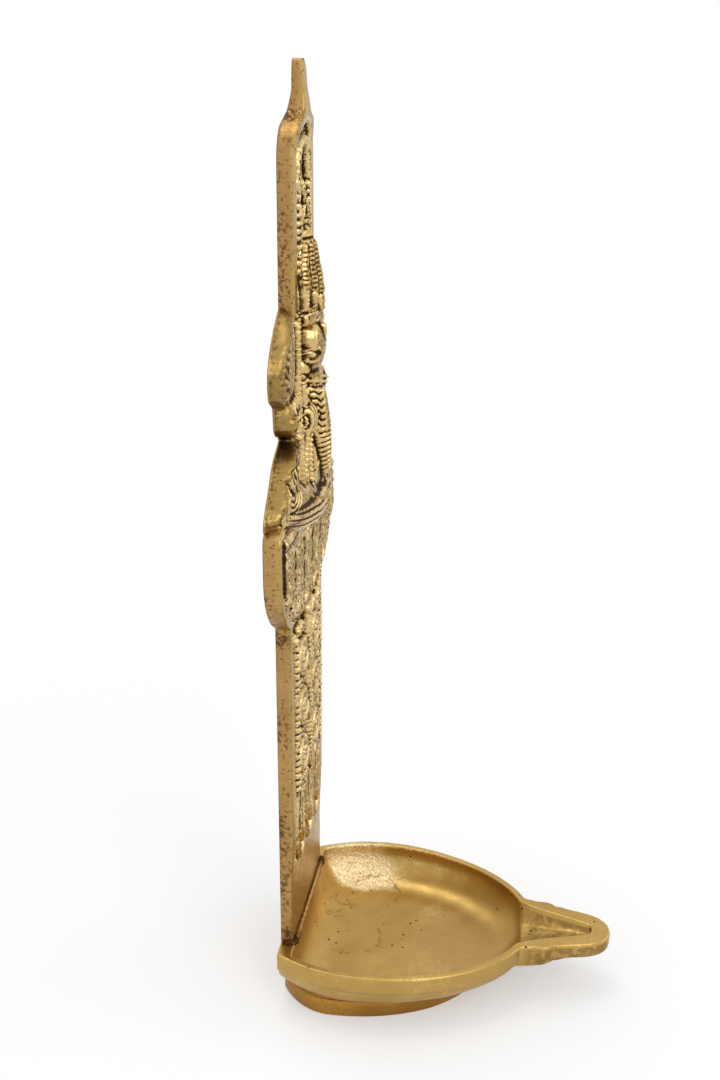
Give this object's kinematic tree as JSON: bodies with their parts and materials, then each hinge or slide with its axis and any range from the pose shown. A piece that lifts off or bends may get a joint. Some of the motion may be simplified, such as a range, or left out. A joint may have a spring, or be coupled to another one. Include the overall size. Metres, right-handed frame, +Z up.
{
  "type": "wall oil lamp",
  "caption": "Cast brass wall oil lamp: a carved back plate with a seated elephant-headed figure above a shallow oil bowl with a wick spout.",
  "frame": {"origin": "centre of the whole lamp in plan, at the foot's underside", "axes": "+Z up, +Y towards the wall, the spout towards -Y"},
  "size_m": [0.085, 0.1124, 0.312],
  "materials": {
    "back_plate": "antique satin",
    "ganesha_relief": "antique satin",
    "oil_bowl": "satin",
    "bowl_foot": "satin",
    "joint_bead": "rough, darkened"
  },
  "bodies": {
    "root": {"back_plate": "back_plate", "ganesha_relief": "ganesha_relief", "oil_bowl": "oil_bowl", "bowl_foot": "bowl_foot", "joint_bead": "joint_bead"}
  },
  "joints": []
}
